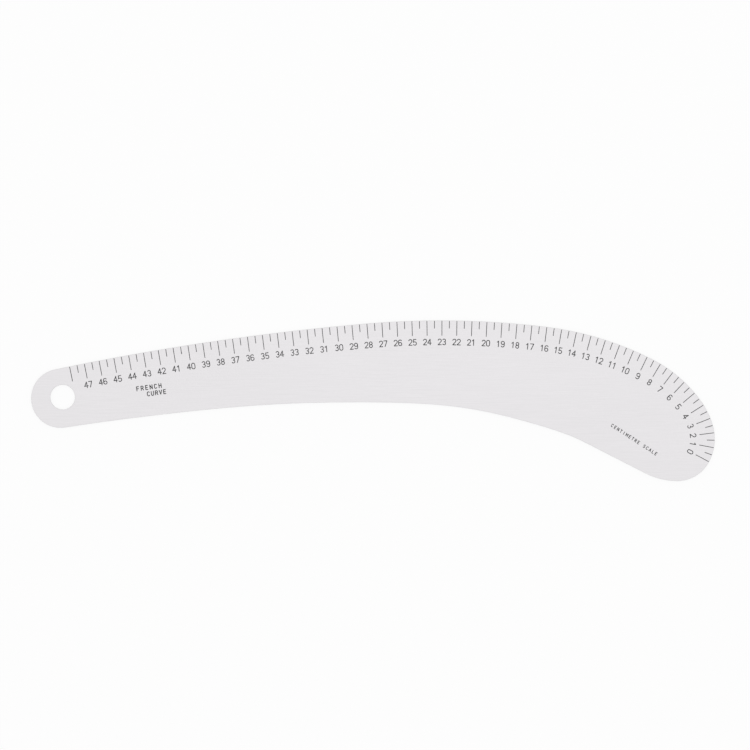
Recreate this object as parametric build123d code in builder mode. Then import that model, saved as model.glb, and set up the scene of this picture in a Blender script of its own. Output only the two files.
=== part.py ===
from build123d import *
import math
import os

os.makedirs("parts", exist_ok=True)

# A french curve in aluminium sheet. It lies flat in XY with its printed front up, its head
# towards +X and its tail towards -X. The origin is under the middle, on the back face.
# All sizes are in millimetres and all turns in degrees.
THICKNESS = 1.2
EDGE_BREAK = 0.2

# The outline starts at the lowest point of the head and runs round it, over the long back
# and down to the tail, as arcs of (radius, turn) that each carry on from the last one.
HEAD_BOTTOM = (202.47, -53.43)
SCALE_EDGE_ARCS = (
    (24, 62),
    (32.5, 43.5),
    (52, 20),
    (90, 27.5),
    (214, 20.16),
    (584, 11.8),
    (1735, 6.89),
)
TAIL_RADIUS = 19.6
# The hollow edge runs from the tail back to the heel of the head.
HOLLOW_START_HEADING = 9
HOLLOW_EDGE_POINTS = (
    (-140, -9.1),
    (-70, -2.6),
    (0, -1),
    (60, -4.6),
    (105, -14.7),
)
HEEL_RADIUS = 46
HEEL_TURN = 27
HOLLOW_STRAIGHT = 48

HOLE_RADIUS = 8.25
HOLE_CENTRE = (-206.5, 2.4)

# The scale runs along the outer edge, in centimetres from just past the lowest point. Its
# last line has no numeral, because one there would run into the hanging hole.
ZERO_DISTANCE = 26
CENTIMETRES = 48
LAST_NUMERAL = 47
LINE_WIDTH = 0.45
LINE_START = 0.3
LONG_LINE_END = 10.1
SHORT_LINE_END = 5.3
NUMERAL_OFFSET = 14.3
NUMERAL_HEIGHT = 4.2

# Every marking is etched into the front and filled with paint to just under the face.
ETCH_DEPTH = 0.06
PAINT_DEPTH = 0.05

# Lines of words: text, centre, height, letter pitch and angle.
TITLE_LINES = (
    ("FRENCH", (-149.1, 9), 3, 3, 8),
    ("CURVE", (-144, 5.3), 3, 2.7, 8),
)
UNIT_LINES = (("CENTIMETRE SCALE", (173.8, -25.9), 2.2, 2.3, -33),)

# Characters are round-ended strokes on a height of 1 about their own centre. A list is a
# polyline; a tuple is an arc of (centre x, centre y, radius, start angle, turn).
NUMERAL_STROKE = 0.13
NUMERAL_PITCH = 0.7
WORD_STROKE = 0.19
ROUND_TOP = (0, 0.2, 0.25, 0, 180)
ROUND_BOTTOM = (0, -0.2, 0.25, 180, 180)
LOW_BOWL = ((0, -0.2, 0.25, 0, 180), (0, -0.2, 0.25, 180, 180))
HIGH_BOWL = ((0, 0.2, 0.25, 0, 180), (0, 0.2, 0.25, 180, 180))
UPPER_RING = ((0, 0.23, 0.22, 0, 180), (0, 0.23, 0.22, 180, 180))
LOWER_RING = ((0, -0.22, 0.23, 0, 180), (0, -0.22, 0.23, 180, 180))
GLYPHS = {
    "0": (ROUND_TOP, ROUND_BOTTOM, [(-0.25, 0.2), (-0.25, -0.2)], [(0.25, 0.2), (0.25, -0.2)]),
    "1": ([(-0.18, 0.25), (0.03, 0.45), (0.03, -0.45)],),
    "2": ((0, 0.2, 0.25, 165, -205), [(0.19, 0.04), (-0.25, -0.45), (0.25, -0.45)]),
    "3": ((0, 0.23, 0.22, 150, -240), (0, -0.22, 0.23, 90, -240)),
    "4": ([(0.11, -0.45), (0.11, 0.45), (-0.28, -0.18), (0.28, -0.18)],),
    "5": ([(0.21, 0.45), (-0.18, 0.45), (-0.21, 0.02)], (-0.01, -0.19, 0.26, 140, -285)),
    "6": (*LOW_BOWL, [(-0.25, -0.2), (-0.25, 0.2)], (0, 0.2, 0.25, 180, -150)),
    "7": ([(-0.25, 0.45), (0.25, 0.45), (-0.09, -0.45)],),
    "8": (*UPPER_RING, *LOWER_RING),
    "9": (*HIGH_BOWL, [(0.25, 0.2), (0.25, -0.2)], (0, -0.2, 0.25, 0, -150)),
    "A": ([(-0.28, -0.45), (0, 0.45), (0.28, -0.45)], [(-0.19, -0.15), (0.19, -0.15)]),
    "C": ((0, 0.2, 0.25, 30, 150), [(-0.25, 0.2), (-0.25, -0.2)], (0, -0.2, 0.25, 180, 150)),
    "E": ([(0.22, 0.45), (-0.22, 0.45), (-0.22, -0.45), (0.22, -0.45)], [(-0.22, 0), (0.16, 0)]),
    "F": ([(0.22, 0.45), (-0.22, 0.45), (-0.22, -0.45)], [(-0.22, 0), (0.16, 0)]),
    "H": ([(-0.25, 0.45), (-0.25, -0.45)], [(0.25, 0.45), (0.25, -0.45)], [(-0.25, 0), (0.25, 0)]),
    "I": ([(0, 0.45), (0, -0.45)],),
    "L": ([(-0.2, 0.45), (-0.2, -0.45), (0.22, -0.45)],),
    "M": ([(-0.3, -0.45), (-0.3, 0.45), (0, -0.15), (0.3, 0.45), (0.3, -0.45)],),
    "N": ([(-0.25, -0.45), (-0.25, 0.45), (0.25, -0.45), (0.25, 0.45)],),
    "R": (
        [(-0.24, -0.45), (-0.24, 0.45), (0.02, 0.45)],
        (0.02, 0.22, 0.23, 90, -180),
        [(0.02, -0.01), (-0.24, -0.01)],
        [(0.03, -0.01), (0.25, -0.45)],
    ),
    "S": ((0, 0.225, 0.225, 30, 240), (0, -0.225, 0.225, 90, -240)),
    "T": ([(-0.26, 0.45), (0.26, 0.45)], [(0, 0.45), (0, -0.45)]),
    "U": ([(-0.25, 0.45), (-0.25, -0.2)], ROUND_BOTTOM, [(0.25, -0.2), (0.25, 0.45)]),
    "V": ([(-0.27, 0.45), (0, -0.45), (0.27, 0.45)],),
}


def arc_chain(point, arcs):
    """Arcs that carry on from each other, starting at point and heading along +X."""
    chain = []
    heading = 0
    for radius, turn in arcs:
        direction = (math.cos(math.radians(heading)), math.sin(math.radians(heading)))
        arc = JernArc(point, direction, radius, turn, mode=Mode.PRIVATE)
        chain.append(arc)
        point = arc @ 1
        heading += turn
    return chain


def draw_glyph(character, height, stroke_share):
    """Add one character to the open sketch, at the sketch's current locations."""
    width = stroke_share * height
    for stroke in GLYPHS[character]:
        if isinstance(stroke, tuple):
            centre_x, centre_y, radius, start, turn = stroke
            centre = (centre_x * height, centre_y * height)
            arc = CenterArc(centre, radius * height, start, turn, mode=Mode.PRIVATE)
            SlotArc(arc, width)
        else:
            points = [Vector(x, y) * height for x, y in stroke]
            for a, b in zip(points, points[1:]):
                angle = math.degrees(math.atan2(b.Y - a.Y, b.X - a.X))
                with Locations(Location((a + b) / 2, (0, 0, angle))):
                    SlotCenterToCenter((b - a).length, width)


def outline_edges(scale_edge):
    """The tail, the hollow edge and the heel, which close the outline behind the scale edge."""
    tail_turn = 360 + HOLLOW_START_HEADING - sum(turn for _, turn in SCALE_EDGE_ARCS)
    tail = JernArc(scale_edge[-1] @ 1, scale_edge[-1] % 1, TAIL_RADIUS, tail_turn, mode=Mode.PRIVATE)
    heel = JernArc(HEAD_BOTTOM, (-1, 0), HEEL_RADIUS, -HEEL_TURN, mode=Mode.PRIVATE)
    straight_start = (heel @ 1) + (heel % 1) * HOLLOW_STRAIGHT
    straight = Line(heel @ 1, straight_start, mode=Mode.PRIVATE)
    hollow = Spline(
        tail @ 1,
        *HOLLOW_EDGE_POINTS,
        straight_start,
        tangents=(tail % 1, (heel % 1) * -1),
        mode=Mode.PRIVATE,
    )
    return [tail, hollow, straight, heel]


def mark_place(scale_edge, distance):
    """A place on the scale edge at a distance along it, with +Y pointing off the blade."""
    point = scale_edge.position_at(distance, PositionMode.LENGTH)
    along = scale_edge.tangent_at(distance, PositionMode.LENGTH)
    angle = math.degrees(math.atan2(along.Y, along.X))
    return Location((point.X, point.Y, 0), (0, 0, angle + 180))


def draw_lines(places, end):
    """Add one graduation line at each place to the open sketch."""
    length = end - LINE_START
    middle = Location((0, -(LINE_START + end) / 2, 0))
    with Locations([place * middle for place in places]):
        Rectangle(LINE_WIDTH, length)


def draw_words(lines):
    """Add lines of words to the open sketch."""
    for text, centre, height, pitch, angle in lines:
        line = Location((centre[0], centre[1], 0), (0, 0, angle))
        for i, character in enumerate(text):
            if character == " ":
                continue
            offset = Location(((i - (len(text) - 1) / 2) * pitch, 0, 0))
            with Locations(line * offset):
                draw_glyph(character, height, WORD_STROKE)


scale_arcs = arc_chain(HEAD_BOTTOM, SCALE_EDGE_ARCS)
scale_edge = Wire(scale_arcs)
centimetre_places = [
    mark_place(scale_edge, ZERO_DISTANCE + 10 * n) for n in range(CENTIMETRES + 1)
]
half_places = [
    mark_place(scale_edge, ZERO_DISTANCE + 10 * n + 5) for n in range(CENTIMETRES)
]

with BuildSketch() as long_lines:
    draw_lines(centimetre_places, LONG_LINE_END)

with BuildSketch() as short_lines:
    draw_lines(half_places, SHORT_LINE_END)

with BuildSketch() as numerals:
    for number, place in enumerate(centimetre_places[: LAST_NUMERAL + 1]):
        digits = str(number)
        for i, digit in enumerate(digits):
            offset_x = (i - (len(digits) - 1) / 2) * NUMERAL_PITCH * NUMERAL_HEIGHT
            with Locations(place * Location((offset_x, -NUMERAL_OFFSET, 0))):
                draw_glyph(digit, NUMERAL_HEIGHT, NUMERAL_STROKE)

with BuildSketch() as title:
    draw_words(TITLE_LINES)

with BuildSketch() as unit_words:
    draw_words(UNIT_LINES)

with BuildPart() as blade:
    with BuildSketch():
        with BuildLine():
            add(scale_arcs)
            add(outline_edges(scale_arcs))
        make_face()
        with Locations(HOLE_CENTRE):
            Circle(HOLE_RADIUS, mode=Mode.SUBTRACT)
    extrude(amount=THICKNESS)
    faces = blade.faces().filter_by(Axis.Z)
    chamfer(faces.edges(), EDGE_BREAK)
    with BuildSketch(Plane.XY.offset(THICKNESS - ETCH_DEPTH)):
        add(long_lines.sketch)
        add(short_lines.sketch)
        add(numerals.sketch)
        add(title.sketch)
        add(unit_words.sketch)
    extrude(amount=ETCH_DEPTH, mode=Mode.SUBTRACT)
blade.part.label = "blade"

MARKINGS = {
    "centimetre_lines": long_lines,
    "half_centimetre_lines": short_lines,
    "centimetre_numerals": numerals,
    "title": title,
    "unit_words": unit_words,
}

export_step(blade.part, "parts/blade.step")
for name, drawing in MARKINGS.items():
    with BuildPart() as marking:
        with BuildSketch(Plane.XY.offset(THICKNESS - ETCH_DEPTH)):
            add(drawing.sketch)
        extrude(amount=PAINT_DEPTH)
    marking.part.label = name
    export_step(marking.part, f"parts/{name}.step")
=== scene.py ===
"""French curve in satin aluminium, seen from straight above on a lit white table."""

import bpy
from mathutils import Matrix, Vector


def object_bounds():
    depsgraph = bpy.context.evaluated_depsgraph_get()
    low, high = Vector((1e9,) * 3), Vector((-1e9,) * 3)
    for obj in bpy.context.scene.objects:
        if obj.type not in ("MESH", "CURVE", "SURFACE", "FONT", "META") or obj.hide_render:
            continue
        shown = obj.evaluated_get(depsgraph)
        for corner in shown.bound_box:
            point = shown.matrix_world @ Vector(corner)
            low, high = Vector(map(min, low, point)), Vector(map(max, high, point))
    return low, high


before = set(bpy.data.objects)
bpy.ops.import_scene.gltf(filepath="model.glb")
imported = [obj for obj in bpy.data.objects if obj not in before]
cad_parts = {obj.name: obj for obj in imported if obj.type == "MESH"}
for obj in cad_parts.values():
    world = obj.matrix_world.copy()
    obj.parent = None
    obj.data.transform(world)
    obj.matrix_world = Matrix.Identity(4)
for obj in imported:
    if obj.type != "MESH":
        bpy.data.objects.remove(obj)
cad_box = [list(v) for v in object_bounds()]
scene = bpy.context.scene
scene.view_settings.view_transform = "Standard"
scene.view_settings.look = "None"

# Colours are linear, lengths are in metres.
ALUMINIUM = (0.714, 0.700, 0.714)
PAINT = (0.02, 0.02, 0.022)
TABLE_GREY = (0.2, 0.2, 0.2)
TABLE_GLOW = 0.779
TABLE_SIZE = 12

# The tent's walls are lit from above, so they are a little darker near the table. They reach
# full brightness where a ray's rise is TENT_FULL_RISE, from 0 level to 1 straight up.
TENT_STRENGTH = 1.0
TENT_AT_HORIZON = 0.8
TENT_FULL_RISE = 0.6
KEY_PLACE = (0.15, 0.9, 2.4)
KEY_SIZE = 2.4
KEY_POWER = 4

# The camera looks straight down, and takes in VIEW_WIDTH across at the printed face.
VIEW_WIDTH = 0.499
VIEW_CENTRE = (0.00135, 0.01712)
LENS = 180
SENSOR = 36
FURTHEST_SEEN = 50


# ---------------------------------------------------------------- materials
def new_material(name, colour, roughness, metallic=0.0):
    """A Principled material, its tree and its shader, with average values for any viewer."""
    material = bpy.data.materials.new(name)
    material.use_nodes = True
    tree = material.node_tree
    shader = tree.nodes["Principled BSDF"]
    shader.inputs["Base Color"].default_value = (*colour, 1)
    shader.inputs["Roughness"].default_value = roughness
    shader.inputs["Metallic"].default_value = metallic
    return material, tree, shader


def stretched_noise(tree, stretch, scale, detail):
    """Noise from 0 to 1 in the object's own coordinates, drawn out along some axes."""
    place = tree.nodes.new("ShaderNodeTexCoord")
    mapping = tree.nodes.new("ShaderNodeMapping")
    mapping.inputs["Scale"].default_value = stretch
    noise = tree.nodes.new("ShaderNodeTexNoise")
    noise.inputs["Scale"].default_value = scale
    noise.inputs["Detail"].default_value = detail
    tree.links.new(place.outputs["Object"], mapping.inputs["Vector"])
    tree.links.new(mapping.outputs["Vector"], noise.inputs["Vector"])
    return noise.outputs["Fac"]


def to_range(tree, source, low, high):
    """A value from 0 to 1 mapped to between low and high."""
    ramp = tree.nodes.new("ShaderNodeMapRange")
    ramp.inputs["To Min"].default_value = low
    ramp.inputs["To Max"].default_value = high
    tree.links.new(source, ramp.inputs["Value"])
    return ramp.outputs["Result"]


def vary_tone(tree, shader, colour, noise, share):
    """Let the base colour swing up and down by a share of itself."""
    mix = tree.nodes.new("ShaderNodeMix")
    mix.data_type = "RGBA"
    mix.inputs["A"].default_value = (*(c * (1 - share) for c in colour), 1)
    mix.inputs["B"].default_value = (*(c * (1 + share) for c in colour), 1)
    tree.links.new(noise, mix.inputs["Factor"])
    tree.links.new(mix.outputs["Result"], shader.inputs["Base Color"])


def add_relief(tree, shader, noise, strength, height):
    """Give the surface a fine relief, so many metres high."""
    bump = tree.nodes.new("ShaderNodeBump")
    bump.inputs["Strength"].default_value = strength
    bump.inputs["Distance"].default_value = height
    tree.links.new(noise, bump.inputs["Height"])
    tree.links.new(bump.outputs["Normal"], shader.inputs["Normal"])


def aluminium():
    """Satin anodised sheet, with a fine brushed grain along its length, a little cloudy."""
    material, tree, shader = new_material("satin_aluminium", ALUMINIUM, 0.34, metallic=1.0)
    grain = stretched_noise(tree, stretch=(1, 90, 90), scale=70, detail=3)
    cloud = stretched_noise(tree, stretch=(0.4, 1, 1), scale=22, detail=2)
    vary_tone(tree, shader, ALUMINIUM, grain, share=0.1)
    add_relief(tree, shader, grain, strength=0.35, height=0.00003)

    streaks = to_range(tree, grain, low=-0.09, high=0.09)
    patches = to_range(tree, cloud, low=0.29, high=0.39)
    total = tree.nodes.new("ShaderNodeMath")
    tree.links.new(streaks, total.inputs[0])
    tree.links.new(patches, total.inputs[1])
    tree.links.new(total.outputs["Value"], shader.inputs["Roughness"])
    return material


def paint():
    """Matt black paint rubbed into the etched marks, thinner and drier in places."""
    material, tree, shader = new_material("marking_paint", PAINT, 0.55)
    wear = stretched_noise(tree, stretch=(1, 1, 1), scale=600, detail=3)
    vary_tone(tree, shader, PAINT, wear, share=0.5)
    add_relief(tree, shader, wear, strength=0.3, height=0.00002)
    tree.links.new(to_range(tree, wear, low=0.4, high=0.7), shader.inputs["Roughness"])
    return material


def lit_white():
    """A matt white top lit from below, so the blade throws next to no shadow on it."""
    material, _, shader = new_material("lit_white_table", TABLE_GREY, 0.9)
    shader.inputs["Specular IOR Level"].default_value = 0.0
    shader.inputs["Emission Color"].default_value = (1, 1, 1, 1)
    shader.inputs["Emission Strength"].default_value = TABLE_GLOW
    return material


blade_metal = aluminium()
marking_paint = paint()
for name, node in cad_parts.items():
    is_blade = name == "blade"
    node.data.materials.clear()
    node.data.materials.append(blade_metal if is_blade else marking_paint)


# ---------------------------------------------------------------- table, light and camera
def add_table():
    """A plane that the blade lies on."""
    bpy.ops.mesh.primitive_plane_add(size=TABLE_SIZE, location=(0, 0, cad_box[0][2]))
    table = bpy.context.object
    table.name = "table"
    table.data.materials.append(lit_white())


def light_tent():
    """A white tent all round, made by the world."""
    world = bpy.data.worlds.new("studio")
    world.use_nodes = True
    tree = world.node_tree
    place = tree.nodes.new("ShaderNodeTexCoord")
    split = tree.nodes.new("ShaderNodeSeparateXYZ")
    rise = tree.nodes.new("ShaderNodeMapRange")
    rise.interpolation_type = "SMOOTHSTEP"
    rise.inputs["From Max"].default_value = TENT_FULL_RISE
    rise.inputs["To Min"].default_value = TENT_AT_HORIZON
    shine = tree.nodes["Background"]
    shine.inputs["Strength"].default_value = TENT_STRENGTH
    tree.links.new(place.outputs["Generated"], split.inputs["Vector"])
    tree.links.new(split.outputs["Z"], rise.inputs["Value"])
    tree.links.new(rise.outputs["Result"], shine.inputs["Color"])
    scene.world = world


def add_key():
    """One large square softbox behind the blade, facing it."""
    data = bpy.data.lights.new("key", "AREA")
    data.size = KEY_SIZE
    data.energy = KEY_POWER
    light = bpy.data.objects.new("key", data)
    scene.collection.objects.link(light)
    light.location = KEY_PLACE
    light.rotation_euler = (-Vector(KEY_PLACE)).to_track_quat("-Z", "Y").to_euler()


def add_camera():
    """A long lens, so that the view is almost flat."""
    data = bpy.data.cameras.new("camera")
    data.lens = LENS
    data.sensor_width = SENSOR
    data.clip_end = FURTHEST_SEEN
    camera = bpy.data.objects.new("camera", data)
    scene.collection.objects.link(camera)
    camera.location = (*VIEW_CENTRE, cad_box[1][2] + VIEW_WIDTH * LENS / SENSOR)
    scene.camera = camera


add_table()
light_tent()
add_key()
add_camera()
